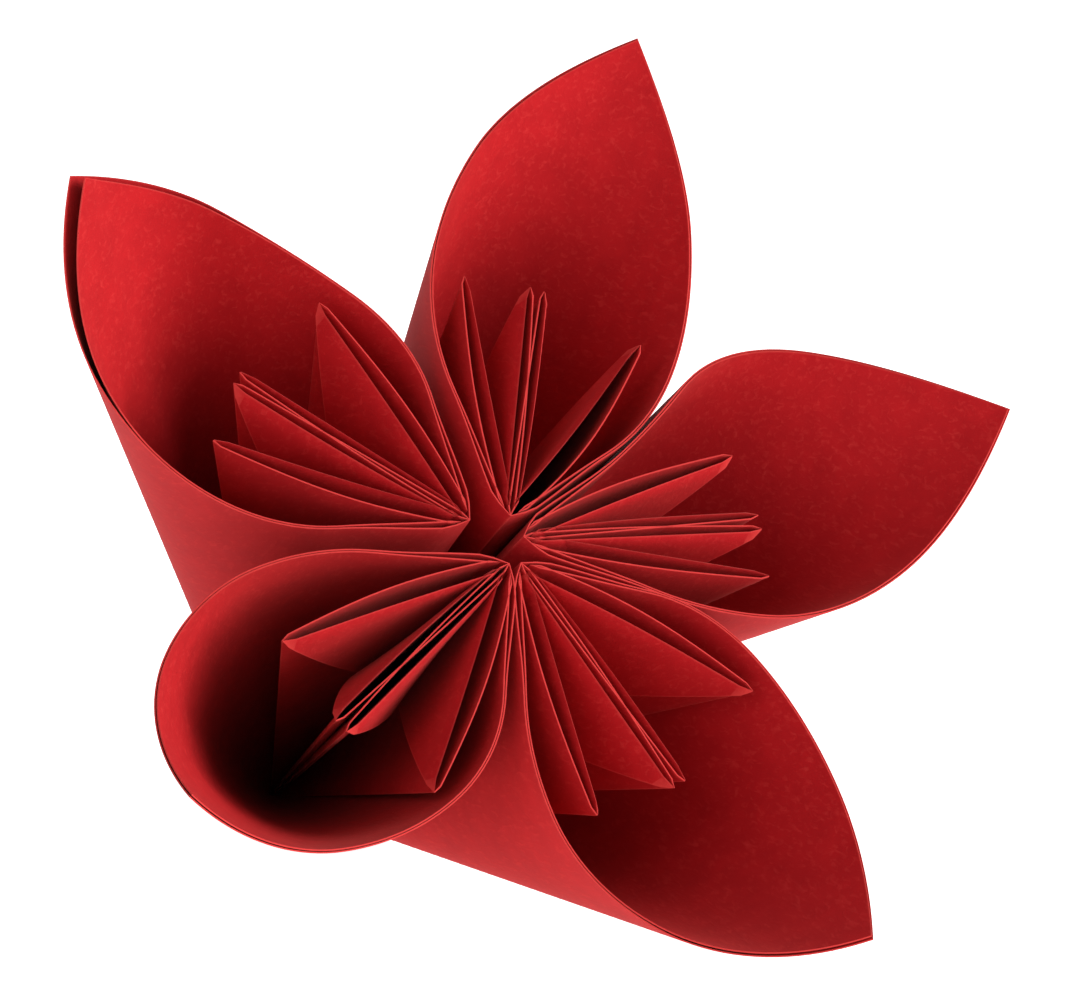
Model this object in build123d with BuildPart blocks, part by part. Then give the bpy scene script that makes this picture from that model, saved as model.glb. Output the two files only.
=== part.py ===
from build123d import *

import os
from math import acos, cos, degrees, radians, sin, sqrt, tan

# Folded paper flower: five petals, each a square sheet folded up and closed with glue.
# Every crease of a petal runs out from the middle of its sheet, so the folded sheet is a cone
# with many pleats. The flower stands on its point while it is drawn, with its axis on +Z, and
# is laid on its side at the end, the way it rests on a table.

# driving dimensions, in millimetres and degrees
sheet = 90.0  # side of each square sheet
paper = 0.1  # thickness of the sheet
layer_gap = 0.06  # air between two layers that lie on each other
petal_glue = 0.06  # thickness of the glue film that closes a petal
neighbour_glue = 0.06  # thickness of the glue film between two petals
four_spreads = (76.0, 67.0, 63.0, 73.0)  # share of the circle of each petal but the last
names = ("left", "top", "right", "low_right", "low_left")  # as seen from the open side
side_ridges = ((18.0, 27.0), (18.0, 24.0), (15.0, 14.0), (30.0, 20.0), (23.0, 23.0))
eye_radius = 2.2  # from the flower's axis to each petal's seam, at the pleats' top
blunting = 14.0  # how much steeper the wall leaves the seam than it runs on
spine_depth = 1.5  # how far from the seam the folded layers are pressed together
side_to_tip = 2.6  # radius of the petal's side over the radius round its tip
tip_turn = 52.0  # how far the tip arc turns on each side of the tip
nip_height = 5.0  # below this height the layers are pressed into one point
pleat_start = 4.0  # the pleats begin inside that point
point_height = 2.0  # where that point ends
film_margin = 2.0  # bare paper round a glue film
arc_steps = 40  # how finely the wall is measured when its sheet is unrolled

# sizes that follow from folding a square sheet
crease_length = sheet / 2  # from the sheet's middle to the middle of an edge
pleat_depth = crease_length * tan(radians(22.5))
corner_drop = sheet * (sqrt(2) - 1) / 2  # how far down its pleat a folded-in corner reaches
wall_angle = 45.0  # sheet angle from the seam to the petal's tip
rim_start = 14.0  # sheet angle where the rim starts to rise
rim_middle = 30.0
spreads = four_spreads + (360 - sum(four_spreads),)
half_petal_glue = petal_glue / 2
half_neighbour_glue = neighbour_glue / 2

os.makedirs("parts", exist_ok=True)


def direction(angle, side=1):
    return Vector(cos(radians(angle)), side * sin(radians(angle)))


def bearing(index):
    """Direction of a petal's middle, going round clockwise as seen from the front."""
    return -sum(spreads[:index]) - spreads[index] / 2 + spreads[0] / 2


class Cup:
    """Plan of one petal's wall at any height. All of it grows in step with the height."""

    def __init__(self, spread, tip_radius):
        self.half = spread / 2
        self.tip_radius = tip_radius
        self.heading = tip_turn - 90

    def wall(self, height, inset, side=1):
        """Points along the wall from the seam to the tip, this far in from its outside."""
        scale = height / crease_length
        along, steep = direction(self.half), direction(self.half + blunting)
        inward = Vector(along.Y, -along.X)
        steep_inward = Vector(steep.Y, -steep.X)
        tip, flank = self.tip_radius * scale, self.tip_radius * side_to_tip * scale
        away = direction(self.heading)
        outward = Vector(-away.Y, away.X)
        run = ((flank + half_neighbour_glue) * along.X - (flank - tip) * away.X) / along.Y
        start = Vector(eye_radius * scale, half_petal_glue) + steep_inward * inset
        offset = inward * (half_neighbour_glue + inset)
        reach = (offset - start).cross(along).Z / steep.cross(along).Z
        elbow = start + steep * reach
        flat_end = along * run + offset
        flank_centre = along * run + inward * (flank + half_neighbour_glue)
        tip_centre = flank_centre + outward * (flank - tip)
        join = flank_centre + outward * (flank - inset)
        tip_end = Vector(tip_centre.X + tip - inset, tip_centre.Y)
        middle = flank_centre + direction(self.half / 2 + self.heading / 2 + 90) * (flank - inset)
        tip_middle = tip_centre + direction((self.heading + 90) / 2) * (tip - inset)
        points = (start, elbow, flat_end, middle, join, tip_middle, tip_end)
        return [Vector(p.X, side * p.Y) for p in points]

    def draw(self, height, inset, side=1):
        """The wall from its elbow to the tip, as a line and two arcs; returns its ends."""
        start, elbow, flat_end, middle, join, tip_middle, tip_end = self.wall(height, inset, side)
        Line(elbow, flat_end)
        ThreePointArc(flat_end, middle, join)
        ThreePointArc(join, tip_middle, tip_end)
        return start, elbow


def make_cup(spread):
    """Find the cup whose wall uses exactly its share of the sheet."""
    small, large = sheet / 40, sheet / 4
    while large - small > sheet / 1e6:
        tip_radius = (small + large) / 2
        if unrolled(Cup(spread, tip_radius))[-1][0] < wall_angle:
            small = tip_radius
        else:
            large = tip_radius
    return Cup(spread, small)


def unrolled(cup):
    """Points along the wall at the pleats' height, each with its angle in the flat sheet."""
    start, elbow, flat_end, _, join, _, tip_end = cup.wall(crease_length, 0)
    tip, flank = cup.tip_radius, cup.tip_radius * side_to_tip
    side_turn = cup.half - cup.heading
    tip_centre = Vector(tip_end.X - tip, 0)
    flank_centre = join - direction(cup.heading + 90) * flank
    line = [start + (elbow - start) * (step / arc_steps) for step in range(arc_steps)]
    line += [elbow + (flat_end - elbow) * (step / arc_steps) for step in range(arc_steps)]
    for step in range(arc_steps):
        line.append(flank_centre + direction(cup.half + 90 - side_turn * step / arc_steps) * flank)
    for step in range(arc_steps + 1):
        line.append(tip_centre + direction((cup.heading + 90) * (1 - step / arc_steps)) * tip)
    places = [Vector(place.X, place.Y, crease_length) for place in line]
    angle, result = 0.0, []
    for before, after in zip(places, places[1:]):
        angle += before.get_angle(after)
        result.append((angle, after))
    return result


def rim_point(cup, angle):
    """Where the straight edge of the sheet crosses the wall at this sheet angle."""
    place = min(unrolled(cup), key=lambda item: abs(item[0] - angle))[1]
    return place.normalized() * (crease_length / cos(radians(angle)))


def cup_plan(cup, height, inset):
    """The whole outline of a petal, this far in from its outside."""
    steep = direction(cup.half + blunting)
    with BuildLine() as outline:
        for side in (1, -1):
            start, elbow = cup.draw(height, inset, side)
            nose = Vector(start.X - side * start.Y * steep.X / steep.Y, 0)
            Line(nose, elbow)
    return outline.line


def spine_plan(cup, height, inset):
    """The corner of the outline, where all the layers of the seam lie on each other."""
    nose = Vector(eye_radius * height / crease_length + inset, 0)
    left = nose + direction(cup.half + blunting) * spine_depth
    with BuildLine() as outline:
        Polyline(nose, left, Vector(left.X, -left.Y), close=True)
    return outline.line


def tapered(frame, low, high, plan, cup, inset=0.0):
    """A solid with straight sides between a plan's outline at two heights."""
    bottom, top = (plan(cup, height, inset).moved(frame.offset(height).location).edges()
                   for height in (low, high))
    sides = [Face.make_surface_from_curves(below, above) for below, above in zip(bottom, top)]
    return Solid(Shell(sides + [Face(Wire(bottom)), Face(Wire(top))]))


def petal_frame(index):
    away = direction(bearing(index))
    return Plane(origin=(0, 0, 0), x_dir=(away.X, away.Y, 0), z_dir=(0, 0, 1))


def rim_plane(frame, cup, side):
    """The plane in which one side's rim climbs from the wall to the petal's tip."""
    places = [rim_point(cup, angle) for angle in (rim_start, rim_middle, wall_angle)]
    start, middle, tip = [frame.from_local_coords(Vector(p.X, side * p.Y, p.Z)) for p in places]
    normal = (middle - tip).cross(start - tip).normalized()
    if normal.Z < 0:
        normal = -normal
    return Plane(origin=tip, z_dir=normal)


def wall(frame, cup):
    """Both layers of the wall, cut to the straight edges of the sheet."""
    start, tip = rim_point(cup, rim_start), rim_point(cup, wall_angle)
    inner = paper + layer_gap
    layers = ((0, Mode.ADD), (paper, Mode.SUBTRACT),
              (inner, Mode.ADD), (inner + paper, Mode.SUBTRACT))
    with BuildPart() as layered:
        for inset, mode in layers:
            add(tapered(frame, nip_height, tip.Z + paper, cup_plan, cup, inset), mode=mode)
        for side in (1, -1):
            split(bisect_by=rim_plane(frame, cup, side), keep=Keep.BOTTOM)
        with BuildSketch(frame.offset(crease_length)):
            with Locations((start.X, 0)):
                Rectangle(sheet, sheet, align=(Align.MAX, Align.CENTER))
        extrude(amount=sheet, mode=Mode.SUBTRACT)
    return layered.part


def leaf_plane(azimuth):
    """The plane of a pleat: it holds the seam line and the pleat's ridge."""
    along = direction(azimuth)
    seam = Vector(eye_radius, 0, crease_length)
    return Plane(origin=(0, 0, 0), x_dir=along, z_dir=along.cross(seam)), along, seam


def pleat(azimuth, shift, drop, thickness, short=0):
    """A flat triangle of paper moved sideways off its own plane.

    It goes down the seam, out along the pleat's top edge and back down its ridge.
    """
    plane, along, seam = leaf_plane(azimuth)
    ridge = seam + along * (pleat_depth - short)
    with BuildPart() as flat:
        with BuildSketch(plane.offset(shift)):
            with BuildLine():
                corners = [plane.to_local_coords(place) for place in (seam * drop, seam, ridge)]
                Polyline(*corners, close=True)
            make_face()
        extrude(amount=thickness / 2, both=True)
    return flat.part


def petal(index):
    """One folded sheet."""
    frame = petal_frame(index)
    cup = make_cup(spreads[index])
    left, right = side_ridges[index]
    doubled = 2 * paper + layer_gap
    glued = half_petal_glue + doubled / 2
    corner = doubled / 2 + paper / 2
    fold_in = 1 - corner_drop / crease_length
    leaves = ((left, 0, corner), (-right, 0, -corner), (0, glued, corner), (0, -glued, -corner))
    with BuildPart() as pleats:
        for azimuth, shift, tucked in leaves:
            add(pleat(azimuth, shift, 0, doubled))
            add(pleat(azimuth, shift, 0, layer_gap, paper), mode=Mode.SUBTRACT)
            add(pleat(azimuth, shift + tucked, fold_in, paper))
        add(tapered(Plane.XY, nip_height, crease_length, spine_plan, cup))
    with BuildPart() as folded:
        add(tapered(frame, pleat_start, crease_length, cup_plan, cup, paper / 2))
        add(pleats.part.moved(frame.location), mode=Mode.INTERSECT)
        add(wall(frame, cup))
        add(tapered(frame, point_height, nip_height, cup_plan, cup))
    return folded


def petal_film():
    """Dried glue between the two middle pleats of a petal, which closes it."""
    low, high = nip_height + film_margin, crease_length - film_margin
    with BuildPart() as film:
        with BuildSketch(Plane.XZ):
            with BuildLine():
                places = []
                for height in (low, high):
                    scale = height / crease_length
                    places.append((eye_radius * scale + spine_depth, height))
                    places.append(((eye_radius + pleat_depth) * scale - film_margin / 2, height))
                Polyline(places[0], places[1], places[3], places[2], close=True)
            make_face()
        extrude(amount=half_petal_glue, both=True)
    return film


def neighbour_film(index):
    """Dried glue between the flat walls of this petal and the next one round."""
    following = (index + 1) % len(names)
    near, far = 0, sheet
    for cup in (make_cup(spreads[index]), make_cup(spreads[following])):
        _, elbow, flat_end = cup.wall(crease_length, 0)[:3]
        along = direction(cup.half)
        near, far = max(near, elbow.dot(along)), min(far, flat_end.dot(along))
    away = direction(bearing(index) - spreads[index] / 2)
    between = Plane(origin=(0, 0, 0), x_dir=(away.X, away.Y, 0), z_dir=(away.Y, -away.X, 0))
    low, high = nip_height + film_margin, crease_length - film_margin
    with BuildPart() as film:
        with BuildSketch(between):
            with BuildLine():
                places = []
                for height in (low, high):
                    scale = height / crease_length
                    places += [(near * scale, height), (far * scale, height)]
                Polyline(places[0], places[1], places[3], places[2], close=True)
            make_face()
        extrude(amount=half_neighbour_glue, both=True)
    return film


def table_plane():
    """The table seen from the flower: it touches the point and the two lowest petals."""
    ends = []
    for index in (3, 4):
        cup = make_cup(spreads[index])
        reach = cup.wall(crease_length, 0)[-1].X
        ends.append((direction(bearing(index)) * (reach - cup.tip_radius), cup.tip_radius))
    (right_centre, right_radius), (left_centre, left_radius) = ends
    gap = left_centre - right_centre
    lean = degrees(acos((right_radius - left_radius) / gap.length))
    outward = gap.normalized().rotate(Axis.Z, lean)
    if outward.dot(left_centre) < 0:
        outward = gap.normalized().rotate(Axis.Z, -lean)
    depth = outward.dot(left_centre) + left_radius
    up = (Vector(0, 0, 1 / crease_length) - outward / depth).normalized()
    axis = Vector(0, 0, 1)
    front = (axis - up * axis.dot(up)).normalized()
    return Plane(origin=(0, 0, 0), x_dir=up.cross(front), z_dir=up)


pieces = {}
for index, name in enumerate(names):
    pieces["petal_" + name] = petal(index).part
    pieces["closing_glue_" + name] = petal_film().part.moved(petal_frame(index).location)
    following = names[(index + 1) % len(names)]
    pieces["joining_glue_" + name + "_" + following] = neighbour_film(index).part

lying = table_plane().location.inverse()
pieces = {name: piece.moved(lying) for name, piece in pieces.items()}
boxes = [piece.bounding_box() for piece in pieces.values()]
left_end, right_end = min(box.min.X for box in boxes), max(box.max.X for box in boxes)
front_end, back_end = min(box.min.Y for box in boxes), max(box.max.Y for box in boxes)
underside = min(box.min.Z for box in boxes)
resting = Location((-(left_end + right_end) / 2, -(front_end + back_end) / 2, -underside))
for name, piece in pieces.items():
    finished = piece.moved(resting)
    finished.label = name
    export_step(finished, "parts/" + name + ".step")
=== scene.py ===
import bpy
import bpy
import bmesh
from bisect import bisect_right
from itertools import accumulate
from math import atan2, cos, degrees, hypot, pi, radians, sin, tan
from mathutils import Matrix, Vector


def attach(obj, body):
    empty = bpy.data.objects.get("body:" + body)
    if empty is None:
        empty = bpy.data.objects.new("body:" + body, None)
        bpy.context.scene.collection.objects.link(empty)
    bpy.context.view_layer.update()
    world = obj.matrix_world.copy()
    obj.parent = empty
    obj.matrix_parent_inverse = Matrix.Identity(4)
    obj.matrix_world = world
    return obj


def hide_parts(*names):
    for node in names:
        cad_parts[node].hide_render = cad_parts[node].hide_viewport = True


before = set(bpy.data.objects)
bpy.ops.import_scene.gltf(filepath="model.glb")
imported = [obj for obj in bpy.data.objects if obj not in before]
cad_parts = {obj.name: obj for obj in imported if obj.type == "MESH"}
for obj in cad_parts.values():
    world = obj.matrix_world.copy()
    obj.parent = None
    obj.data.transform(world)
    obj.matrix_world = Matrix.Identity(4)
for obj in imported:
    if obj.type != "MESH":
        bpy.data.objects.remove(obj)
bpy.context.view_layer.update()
print("frame loaded")

mm = 0.001
white = (1, 1, 1, 1)

# the square sheet that each petal is folded from, in millimetres
sheet = {
    "side": 90.0,
    "thickness": 0.1,
    "cells": 120,
    "layerGap": 0.08,  # from the middle of the double wall to each sheet
    "pleatGap": 0.22,  # the same for a pleat, which springs open a little
    "cornerGap": 0.13,  # how far a folded-in corner stands off its pleat
    "cornerSpring": 0.23,  # how much further it has sprung open at its free edge
    "foldWidth": 0.6,  # how soon two layers part beside a fold
    "snap": 0.0001,  # a point this close to a fold lies on it
    "pointRadius": 0.001,  # inside this every crease has met
    "sharpAngle": 38,  # folds steeper than this stay crisp
}
crease = sheet["side"] / 2  # from the sheet's middle to the middle of an edge
cornerAngle = 45  # from the middle of an edge round to a corner
wallAngle = 45  # sheet angle of each half wall, from the seam to the tip
pleatAngle = 22.5  # sheet angle of each pleat face
pleatDepth = crease * tan(radians(pleatAngle))

# how the flower lies: turned about its own axis, tipped forward, and where its point is
lying = {"turn": 153.88, "tip": 57.106, "point": (-1.495, 29.908, 0.031)}
pose = (
    Matrix.Translation(Vector(lying["point"]))
    @ Matrix.Rotation(radians(lying["tip"]), 4, "X")
    @ Matrix.Rotation(radians(lying["turn"]), 4, "Z")
)

# each petal in the flower's own axes, angles in degrees and lengths in millimetres
# seam: how far from the axis the seam stands, and on which side
# left and right: where each wall starts out, and how hard it curls in three stretches
# pleats: where the side pleats and the middle pair point; bow and lean: how each pleat opens
petals = {
    "left": {
        "seam": (3.36, 7.2),
        "left": (41.6, (3.4, 3.3, 4.9)),
        "right": (-47.4, (4.5, 1.0, 7.5)),
        "pleats": (18.1, 1.1, -27.6),
        "bow": (0.3, 0.12, 0.28),
        "lean": (0.5, 0.1, -0.4),
        "tipGap": 0.9,
    },
    "top": {
        "seam": (2.29, -70.4),
        "left": (-37.3, (2.7, 2.7, 5.4)),
        "right": (-113.1, (3.0, 2.5, 5.2)),
        "pleats": (-52.6, -69.9, -95.9),
        "bow": (0.24, 0.1, 0.34),
        "lean": (0.3, -0.1, -0.6),
        "tipGap": 0.1,
    },
    "right": {
        "seam": (1.72, -134.5),
        "left": (-104.7, (-0.8, 6.3, 3.8)),
        "right": (-165.5, (2.0, 3.8, 4.5)),
        "pleats": (-120.9, -137.2, -150.2),
        "bow": (0.26, 0.1, 0.2),
        "lean": (0.4, 0.1, -0.2),
        "tipGap": 0.1,
    },
    "low_right": {
        "seam": (2.37, 151.6),
        "left": (-152.2, (4.4, 2.9, 4.2)),
        "right": (-241.2, (2.3, 4.2, 5.5)),
        "pleats": (-171.2, -202.0, -224.2),
        "bow": (0.32, 0.14, 0.26),
        "lean": (0.6, 0.1, -0.3),
        "tipGap": 0.12,
    },
    "low_left": {
        "seam": (2.2, 115.0),
        "left": (-241.7, (4.0, 2.9, 4.6)),
        "right": (-328.6, (2.5, 3.9, 5.4)),
        "pleats": (-257.9, -282.5, -304.7),
        "bow": (0.3, 0.12, 0.3),
        "lean": (0.4, -0.1, -0.4),
        "tipGap": 0.04,
    },
}

# how the folds of one seam stand side by side: sideways and away from the flower's axis
seamFan = {"wall": (0.55, 0.1), "valley": (0.2, 0.4), "nose": (0.0, -0.4), "round": (0.8, -0.15)}
pairGap = 1.6  # degrees from the middle of the pair to each of its two pleats
hands = {"left": 1, "right": -1}

# how each wall runs, in degrees of the sheet from the seam
wallRun = {
    "steps": 90,
    "straight": 12,  # flat up to here
    "bends": (23, 34),  # where the first two of its three curled stretches end
    "closing": 0.7,  # share of the wall after which it turns to face as the other one does
    "fanOver": 13,  # the folds at the seam stand side by side over this much
    "noseOver": 1.6,  # the outer wall's first fold is rounded over this much
    "tipFrom": 28,  # the two tips part from here
    "tipOver": 17,
    "tipRadius": 60,  # how far out, in millimetres, a petal's tipGap is measured
}
stepAngle = wallAngle / wallRun["steps"]

# the facets met going round the flat sheet from a folded-in corner: the layer each one makes,
# its half of the petal, and how its fold stands at the seam; every other one runs back to the seam
facets = (
    ("side", "left", "valley"),
    ("side", "left", "wall"),
    ("inner", "left", "wall"),
    ("inner", "right", "wall"),
    ("side", "right", "wall"),
    ("side", "right", "valley"),
    ("middle", "right", "valley"),
    ("middle", "right", "nose"),
    ("outer", "right", "nose"),
    ("outer", "left", "nose"),
    ("middle", "left", "nose"),
    ("middle", "left", "valley"),
)
layerAngle = {"side": pleatAngle, "middle": pleatAngle, "inner": wallAngle, "outer": wallAngle}
facetEnds = list(accumulate(layerAngle[layer] for layer, half, fold in facets))
tipTurn = 90  # the tips are a quarter turn from the folded-in corners
foldTurns = [end % 360 for end in facetEnds if end % 180 != tipTurn]  # where the creases run
creaseReach = 80  # a crease further round than this is never the nearest
foldSlack = 0.1  # degrees of rounding allowed to a point on a fold

# dried glue between the layers: sheet angles and distances from the point
glue = {
    "thickness": 0.06,
    "inPetal": (3.0, 14.0),
    "betweenPetals": (8.0, 14.5),
    "reach": (8.0, 41.0),
    "cells": (12, 40),
    "sharpAngle": 30,
}


def level(angle):
    return Vector((cos(radians(angle)), sin(radians(angle)), 0))


def ease(value):
    value = min(1.0, max(0.0, value))
    return value * value * (3 - 2 * value)


def seamOf(petal):
    offset, side = petal["seam"]
    return (level(side) * offset + Vector((0, 0, crease))).normalized()


def curlAt(curls, angle):
    if angle < wallRun["straight"]:
        return 0
    return curls[bisect_right(wallRun["bends"], angle)]


def curlWall(petal, side):
    # follows the wall from the seam to the tip: the ray from the point, and the way it faces
    heading, curls = petal[side]
    inward = -hands[side]
    ray = seamOf(petal)
    along = level(heading)
    along = (along - ray * along.dot(ray)).normalized()
    step = radians(stepAngle)
    steps = [(ray.copy(), ray.cross(along) * -inward)]
    for index in range(wallRun["steps"]):
        curl = curlAt(curls, (index + 0.5) * stepAngle)
        along = (along + ray.cross(along) * (inward * curl * step)).normalized()
        ray = (ray + along * step).normalized()
        along = (along - ray * along.dot(ray)).normalized()
        steps.append((ray.copy(), ray.cross(along) * -inward))
    return steps


def closeTip(petal):
    # both walls end on one ray, the tip
    walls = {side: curlWall(petal, side) for side in hands}
    tip = (walls["left"][-1][0] + walls["right"][-1][0]).normalized()
    outward = (walls["left"][-1][1] + walls["right"][-1][1]).normalized()
    closing = wallRun["closing"]
    for side, steps in walls.items():
        missing, turned = tip - steps[-1][0], outward - steps[-1][1]
        closed = []
        for index, (ray, normal) in enumerate(steps):
            share = index / wallRun["steps"]
            facing = normal + turned * ease((share - closing) / (1 - closing))
            closed.append(((ray + missing * ease(share)).normalized(), facing.normalized()))
        walls[side] = closed
    return walls


def alongWall(steps, angle):
    lastPlace = wallRun["steps"] - 0.001  # just short of the end, so there is a step after it
    place = min(lastPlace, max(0.0, angle / stepAngle))
    index = int(place)
    share = place - index
    ray = steps[index][0].lerp(steps[index + 1][0], share).normalized()
    return ray, steps[index][1].lerp(steps[index + 1][1], share).normalized()


def fanned(petal, fold, hand):
    # how far a fold at the seam is moved, for a point as far out as the sheet's edge
    seam, away = seamOf(petal), level(petal["pleats"][1])
    sideways, out = seamFan[fold]
    return seam.cross(away) * sideways * hand + away * out


def onWall(petal, walls, half, angle, radius, lift, inner):
    ray, outward = alongWall(walls[half], angle)
    hand = hands[half]
    gap = sheet["layerGap"] * lift
    if inner:
        opened = ease((angle - wallRun["tipFrom"]) / wallRun["tipOver"])
        gap = -gap - petal["tipGap"] * opened * radius / wallRun["tipRadius"]
        shift = fanned(petal, "wall", hand)
    else:
        rounded = min(1.0, angle / wallRun["noseOver"])
        shift = fanned(petal, "nose", hand).lerp(fanned(petal, "round", hand), rounded)
    fading = (1 - ease(angle / wallRun["fanOver"])) * radius / crease
    return ray * radius + outward * gap + shift * fading


def onPleat(petal, azimuth, which, facing, angle, radius, lift, fold, hand):
    # facing is 1 on the pleat's left leaf and -1 on its right leaf; hand is the half of the petal
    seam = seamOf(petal)
    along = level(azimuth)
    along = (along - seam * along.dot(seam)).normalized()
    across = seam.cross(along)
    height, reach = radius * cos(radians(angle)), radius * sin(radians(angle))
    gap = sheet["pleatGap"] * lift
    if height > crease:
        past = height - crease
        gap += sheet["cornerGap"] * min(1.0, past / sheet["foldWidth"])
        gap += sheet["cornerSpring"] * past * reach / pleatDepth
        height = crease - past
    outFromSeam = min(1.0, angle / pleatAngle)
    swell = sin(pi * outFromSeam) * height / crease
    gap += petal["bow"][which] * swell
    shift = fanned(petal, fold, hand) * (1 - outFromSeam) * height / crease
    sprung = across * (gap * facing + petal["lean"][which] * swell)
    return seam * height + along * reach + sprung + shift


def turnInSheet(x, y):
    # 0 is the corner folded in on the left, 90 the inner tip, 180 the right corner
    return (degrees(atan2(y, x)) - cornerAngle) % 360


def creaseDistance(radius, turn):
    away = [abs((turn - fold + 180) % 360 - 180) for fold in foldTurns]
    return min(radius * sin(radians(angle)) for angle in away if angle < creaseReach)


def wearDistance(x, y):
    # from a point of the flat sheet to the nearest fold or cut edge
    radius, turn = hypot(x, y), turnInSheet(x, y)
    nearest = min(creaseDistance(radius, turn), crease - max(abs(x), abs(y)))
    fromCorner = min(turn % 180, 180 - turn % 180)
    if fromCorner < pleatAngle + foldSlack:
        nearest = min(nearest, abs(radius * cos(radians(fromCorner)) - crease))
    return max(0.0, nearest)


def foldPoint(petal, walls, x, y):
    radius, turn = hypot(x, y), turnInSheet(x, y)
    if radius < sheet["pointRadius"]:
        return Vector((0, 0, 0))
    lift = min(1.0, creaseDistance(radius, turn) / sheet["foldWidth"])
    index = min(bisect_right(facetEnds, turn), len(facets) - 1)
    layer, half, fold = facets[index]
    leaving = index % 2 == 0
    start, end = facetEnds[index] - layerAngle[layer], facetEnds[index]
    angle = turn - start if leaving else end - turn
    if layer in ("inner", "outer"):
        return onWall(petal, walls, half, angle, radius, lift, layer == "inner")
    hand = hands[half]
    which = 1 if layer == "middle" else 1 - hand  # the side pleats come first and last
    azimuth = petal["pleats"][which] + (hand * pairGap if layer == "middle" else 0)
    return onPleat(petal, azimuth, which, -1 if leaving else 1, angle, radius, lift, fold, hand)


def cutFolds(bm):
    # lays an edge along every fold of the flat sheet, and along the line of the two tips
    throughPoint = (0, pleatAngle, -pleatAngle, tipTurn)
    lines = [((0, 0, 0), turn + cornerAngle + 90) for turn in throughPoint]
    lines += [(level(turn) * crease, turn) for turn in (cornerAngle, cornerAngle + 180)]
    for place, facing in lines:
        parts = bm.verts[:] + bm.edges[:] + bm.faces[:]
        bmesh.ops.bisect_plane(
            bm, geom=parts, plane_co=place, plane_no=level(facing), dist=sheet["snap"]
        )


def finishPiece(bm, name, thickness, sharpAngle):
    # gives a sheet its thickness and puts it where the flower lies
    bmesh.ops.transform(bm, matrix=Matrix.Scale(mm, 4) @ pose, verts=bm.verts)
    flat = bpy.data.meshes.new(name + "Flat")
    bm.to_mesh(flat)
    bm.free()
    piece = bpy.data.objects.new(name, flat)
    bpy.context.collection.objects.link(piece)
    wall = piece.modifiers.new("paper", "SOLIDIFY")
    wall.thickness = thickness * mm
    wall.offset = 0
    view = bpy.context.evaluated_depsgraph_get()
    thick = bpy.data.meshes.new_from_object(piece.evaluated_get(view))
    piece.modifiers.clear()
    piece.data = thick
    thick.name = name
    bpy.data.meshes.remove(flat)
    thick.shade_smooth()
    thick.set_sharp_from_angle(angle=radians(sharpAngle))
    return piece


def foldPetal(name, petal):
    walls = closeTip(petal)
    bm = bmesh.new()
    bmesh.ops.create_grid(bm, x_segments=sheet["cells"], y_segments=sheet["cells"], size=crease)
    cutFolds(bm)
    wear = bm.verts.layers.float.new("wear")
    for vert in bm.verts:
        vert[wear] = wearDistance(vert.co.x, vert.co.y)
    for vert in bm.verts:
        vert.co = foldPoint(petal, walls, vert.co.x, vert.co.y)
    return finishPiece(bm, name, sheet["thickness"], sheet["sharpAngle"])


def filmPatch(across):
    # a strip of dried glue: x is the sheet angle, y is the distance from the point
    low, high = glue["reach"]
    cellsAcross, cellsAlong = glue["cells"]
    bm = bmesh.new()
    bmesh.ops.create_grid(bm, x_segments=cellsAcross, y_segments=cellsAlong, size=0.5)
    bmesh.ops.scale(bm, vec=(across[1] - across[0], high - low, 1), verts=bm.verts)
    bmesh.ops.translate(bm, vec=(sum(across) / 2, (low + high) / 2, 0), verts=bm.verts)
    return bm


def glueInPetal(name, petal):
    bm = filmPatch(glue["inPetal"])
    flatPair = dict(petal, bow=(0, 0, 0))  # the film lies midway, where the pair doesn't bow
    middle = petal["pleats"][1]
    for vert in bm.verts:
        vert.co = onPleat(flatPair, middle, 1, 1, vert.co.x, vert.co.y, 0, "nose", 1)
    return finishPiece(bm, name, glue["thickness"], glue["sharpAngle"])


def glueBetween(name, petal, following):
    walls, others = closeTip(petal)["right"], closeTip(following)["left"]
    bm = filmPatch(glue["betweenPetals"])
    for vert in bm.verts:
        angle, radius = vert.co.x, vert.co.y
        vert.co = (alongWall(walls, angle)[0] + alongWall(others, angle)[0]).normalized() * radius
    return finishPiece(bm, name, glue["thickness"], glue["sharpAngle"])


# mottling and short fibres, which the paper and the glue both show
paperGrain = {
    "mottle": {"Detail": 4, "Roughness": 0.62},
    "strand": {"Detail": 3, "Roughness": 0.55, "Distortion": 0.6},
    "strandTurn": (0.5, 0.9, 0.3),
    "strandStretch": (1.0, 0.28, 1.0),
    "scales": {"Fibre Scale": 2600.0, "Mottle Scale": 420.0},
}


def noiseNode(nodes, settings):
    noise = nodes.new("ShaderNodeTexNoise")
    for socket, value in settings.items():
        noise.inputs[socket].default_value = value
    return noise


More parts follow.
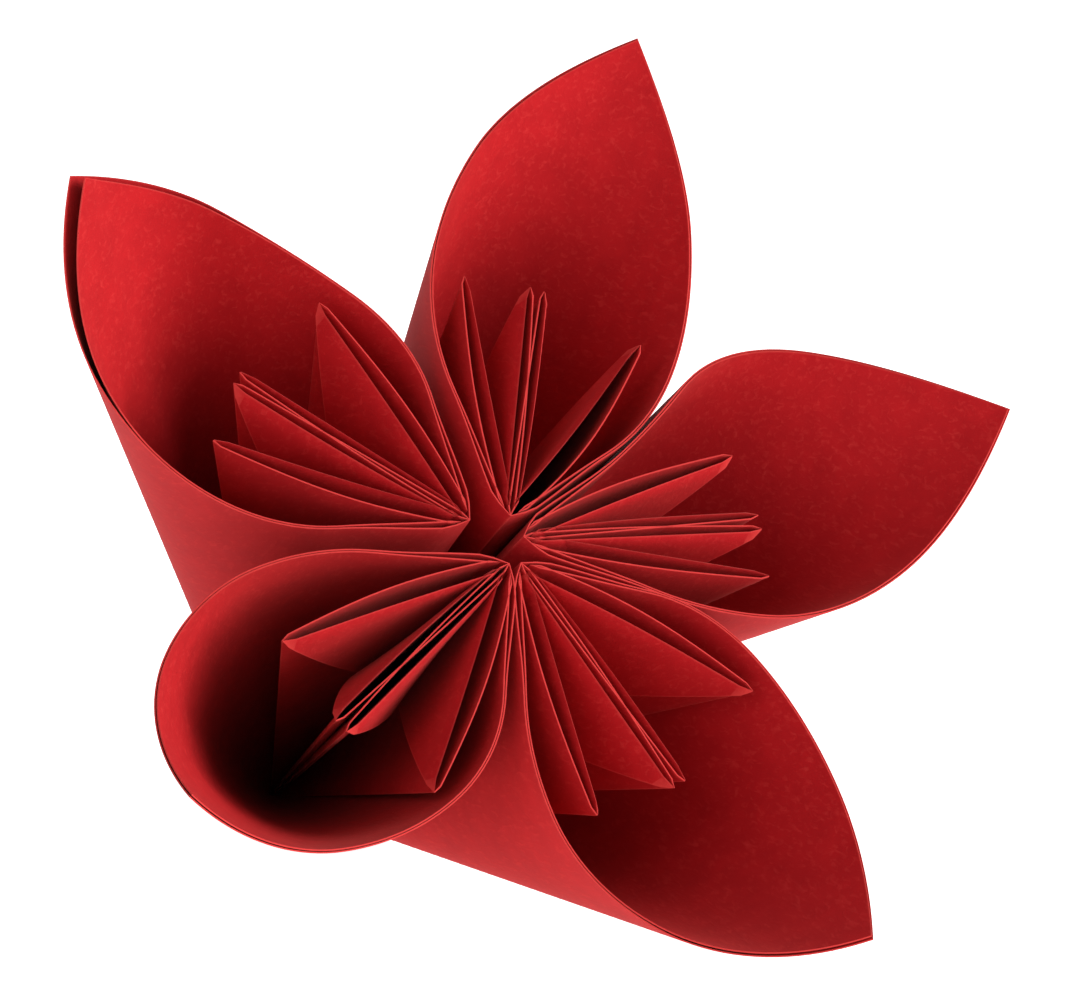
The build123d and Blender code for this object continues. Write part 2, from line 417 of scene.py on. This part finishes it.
def makeFibreGroup():
    group = bpy.data.node_groups.new("paperFibre", "ShaderNodeTree")
    for name, scale in paperGrain["scales"].items():
        made = group.interface.new_socket(name=name, in_out="INPUT", socket_type="NodeSocketFloat")
        made.default_value = scale
    for name in ("Mottle", "Fibre"):
        group.interface.new_socket(name=name, in_out="OUTPUT", socket_type="NodeSocketFloat")
    nodes, links = group.nodes, group.links
    given, made = nodes.new("NodeGroupInput"), nodes.new("NodeGroupOutput")
    place = nodes.new("ShaderNodeTexCoord")
    cloud = noiseNode(nodes, paperGrain["mottle"])
    links.new(place.outputs["Object"], cloud.inputs["Vector"])
    links.new(given.outputs["Mottle Scale"], cloud.inputs["Scale"])
    turned = nodes.new("ShaderNodeMapping")
    turned.inputs["Rotation"].default_value = paperGrain["strandTurn"]
    turned.inputs["Scale"].default_value = paperGrain["strandStretch"]
    links.new(place.outputs["Object"], turned.inputs["Vector"])
    strand = noiseNode(nodes, paperGrain["strand"])
    links.new(turned.outputs["Vector"], strand.inputs["Vector"])
    links.new(given.outputs["Fibre Scale"], strand.inputs["Scale"])
    links.new(cloud.outputs["Fac"], made.inputs["Mottle"])
    links.new(strand.outputs["Fac"], made.inputs["Fibre"])
    return group


def startMaterial(name):
    material = bpy.data.materials.new(name)
    material.use_nodes = True
    return material, material.node_tree.nodes["Principled BSDF"]


def fibreNode(tree, group, scales):
    node = tree.nodes.new("ShaderNodeGroup")
    node.node_tree = group
    node.inputs["Fibre Scale"].default_value, node.inputs["Mottle Scale"].default_value = scales
    return node


def rampNode(tree, source, stops):
    ramp = tree.nodes.new("ShaderNodeValToRGB")
    tree.links.new(source, ramp.inputs["Fac"])
    for element, (position, color) in zip(ramp.color_ramp.elements, stops):
        element.position = position
        element.color = color
    return ramp


def rangeNode(tree, source, low, high):
    spread = tree.nodes.new("ShaderNodeMapRange")
    spread.inputs["To Min"].default_value = low
    spread.inputs["To Max"].default_value = high
    tree.links.new(source, spread.inputs["Value"])
    return spread


mixColors = {"first": 6, "second": 7, "result": 2}  # the colour sockets of a Mix node


def mixedColor(tree, factor, first, second):
    mix = tree.nodes.new("ShaderNodeMix")
    mix.data_type = "RGBA"
    tree.links.new(factor, mix.inputs["Factor"])
    tree.links.new(first, mix.inputs[mixColors["first"]])
    mix.inputs[mixColors["second"]].default_value = second
    return mix.outputs[mixColors["result"]]


def addRelief(tree, shader, height, strength, distance):
    bump = tree.nodes.new("ShaderNodeBump")
    bump.inputs["Strength"].default_value = strength
    bump.inputs["Distance"].default_value = distance
    tree.links.new(height, bump.inputs["Height"])
    tree.links.new(bump.outputs["Normal"], shader.inputs["Normal"])


redPaper = {
    "grain": (2600, 420),
    "shades": ((0.3, (0.36, 0.0045, 0.0075, 1)), (0.7, (0.42, 0.0065, 0.0095, 1))),
    "fibres": ((0.52, (0, 0, 0, 1)), (0.78, (0.5, 0.5, 0.5, 1))),
    "fibreShade": (0.55, 0.03, 0.028, 1),
    "wornEdge": (0.72, 0.085, 0.07, 1),
    "wearWidth": 0.1,  # millimetres of paler paper beside a fold or cut edge
    "wearMost": 0.3,
    "roughness": (0.74, 0.92),
    "specular": 0.15,
    "sheen": (0.1, 0.4, (1, 0.3, 0.25, 1)),  # weight, roughness and tint
    "relief": (0.6, 0.00004),  # strength, and height in metres
}


def makeRedPaper(fibre):
    material, shader = startMaterial("redPaper")
    tree = material.node_tree
    weight, spread, tint = redPaper["sheen"]
    shader.inputs["Specular IOR Level"].default_value = redPaper["specular"]
    shader.inputs["Sheen Weight"].default_value = weight
    shader.inputs["Sheen Roughness"].default_value = spread
    shader.inputs["Sheen Tint"].default_value = tint
    grain = fibreNode(tree, fibre, redPaper["grain"])
    shade = rampNode(tree, grain.outputs["Mottle"], redPaper["shades"])
    strands = rampNode(tree, grain.outputs["Fibre"], redPaper["fibres"])
    coloured = mixedColor(
        tree, strands.outputs["Color"], shade.outputs["Color"], redPaper["fibreShade"]
    )
    wear = tree.nodes.new("ShaderNodeAttribute")
    wear.attribute_name = "wear"
    faded = rangeNode(tree, wear.outputs["Fac"], redPaper["wearMost"], 0)
    faded.inputs["From Max"].default_value = redPaper["wearWidth"]
    worn = mixedColor(tree, faded.outputs["Result"], coloured, redPaper["wornEdge"])
    tree.links.new(worn, shader.inputs["Base Color"])
    rough = rangeNode(tree, grain.outputs["Fibre"], *redPaper["roughness"])
    tree.links.new(rough.outputs["Result"], shader.inputs["Roughness"])
    addRelief(tree, shader, grain.outputs["Fibre"], *redPaper["relief"])
    return material


driedGlue = {
    "grain": (1500, 260),
    "shades": ((0.3, (0.5, 0.16, 0.13, 1)), (0.7, (0.62, 0.3, 0.25, 1))),
    "roughness": (0.35, 0.6),
    "relief": (0.4, 0.00008),
}


def makeDriedGlue(fibre):
    material, shader = startMaterial("driedGlue")
    tree = material.node_tree
    grain = fibreNode(tree, fibre, driedGlue["grain"])
    shade = rampNode(tree, grain.outputs["Mottle"], driedGlue["shades"])
    tree.links.new(shade.outputs["Color"], shader.inputs["Base Color"])
    rough = rangeNode(tree, grain.outputs["Fibre"], *driedGlue["roughness"])
    tree.links.new(rough.outputs["Result"], shader.inputs["Roughness"])
    addRelief(tree, shader, grain.outputs["Mottle"], *driedGlue["relief"])
    return material


fibre = makeFibreGroup()
paperMaterial = makeRedPaper(fibre)
glueMaterial = makeDriedGlue(fibre)
print("materials made")

for name, petal in petals.items():
    piece = foldPetal("foldedPetal_" + name, petal)
    piece.data.materials.append(paperMaterial)
    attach(piece, "root")
    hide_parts("petal_" + name)
    film = glueInPetal("closingFilm_" + name, petal)
    film.data.materials.append(glueMaterial)
    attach(film, "root")
    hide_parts("closing_glue_" + name)
    print("petal folded:", name)

order = list(petals)
for name, following in zip(order, order[1:] + order[:1]):
    film = glueBetween("joiningFilm_" + name + "_" + following, petals[name], petals[following])
    film.data.materials.append(glueMaterial)
    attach(film, "root")
    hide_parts("joining_glue_" + name + "_" + following)
print("petals joined")

floorLook = {
    "half": 20.0,
    "color": (0.7, 0.7, 0.7, 1),
    "roughness": 0.9,
    "glow": 1.0,
    "drop": 0.0002,
}
bm = bmesh.new()
bmesh.ops.create_grid(bm, x_segments=2, y_segments=2, size=floorLook["half"])
bmesh.ops.translate(bm, vec=(0, 0, -floorLook["drop"]), verts=bm.verts)
floorMesh = bpy.data.meshes.new("paleFloor")
bm.to_mesh(floorMesh)
bm.free()
floor = bpy.data.objects.new("paleFloor", floorMesh)
bpy.context.collection.objects.link(floor)
floorMaterial, floorShader = startMaterial("paleFloor")
floorShader.inputs["Base Color"].default_value = floorLook["color"]
floorShader.inputs["Roughness"].default_value = floorLook["roughness"]
floorShader.inputs["Emission Color"].default_value = white
floorShader.inputs["Emission Strength"].default_value = floorLook["glow"]
floorMesh.materials.append(floorMaterial)

lightLook = {
    "sky": 0.3,
    "softness": 45,  # how wide each lamp looks, in degrees
    "key": (3.8, (0.8, -0.62, 0.5)),  # strength, and where it comes from
    "fill": (0.85, (-0.8, -0.6, 0.12)),
}
world = bpy.data.worlds.new("studio")
bpy.context.scene.world = world
world.use_nodes = True
world.node_tree.nodes["Background"].inputs["Color"].default_value = white
world.node_tree.nodes["Background"].inputs["Strength"].default_value = lightLook["sky"]
for name in ("key", "fill"):
    strength, source = lightLook[name]
    lamp = bpy.data.lights.new(name, "SUN")
    lamp.energy = strength
    lamp.angle = radians(lightLook["softness"])
    light = bpy.data.objects.new(name, lamp)
    bpy.context.collection.objects.link(light)
    light.rotation_mode = "QUATERNION"
    light.rotation_quaternion = Vector(source).to_track_quat("Z", "Y")

# lengths in millimetres, angles in degrees
cameraLook = {
    "aim": (2.21, -0.94, 27.38),
    "distance": 879.2,
    "turn": 19.39,
    "height": 3.35,
    "roll": 13.12,
    "lens": 420.4,
    "sensor": 36,
}
cameraData = bpy.data.cameras.new("camera")
cameraData.lens = cameraLook["lens"]
cameraData.sensor_width = cameraLook["sensor"]
camera = bpy.data.objects.new("camera", cameraData)
bpy.context.collection.objects.link(camera)
turn, height = radians(cameraLook["turn"]), radians(cameraLook["height"])
back = Vector((-sin(turn) * cos(height), -cos(turn) * cos(height), sin(height)))
camera.location = (Vector(cameraLook["aim"]) + back * cameraLook["distance"]) * mm
camera.rotation_mode = "QUATERNION"
upright = back.to_track_quat("Z", "Y")
roll = Matrix.Rotation(radians(cameraLook["roll"]), 3, "Z").to_quaternion()
camera.rotation_quaternion = upright @ roll
bpy.context.scene.camera = camera
bpy.context.scene.view_settings.view_transform = "Standard"
print("light and camera set")
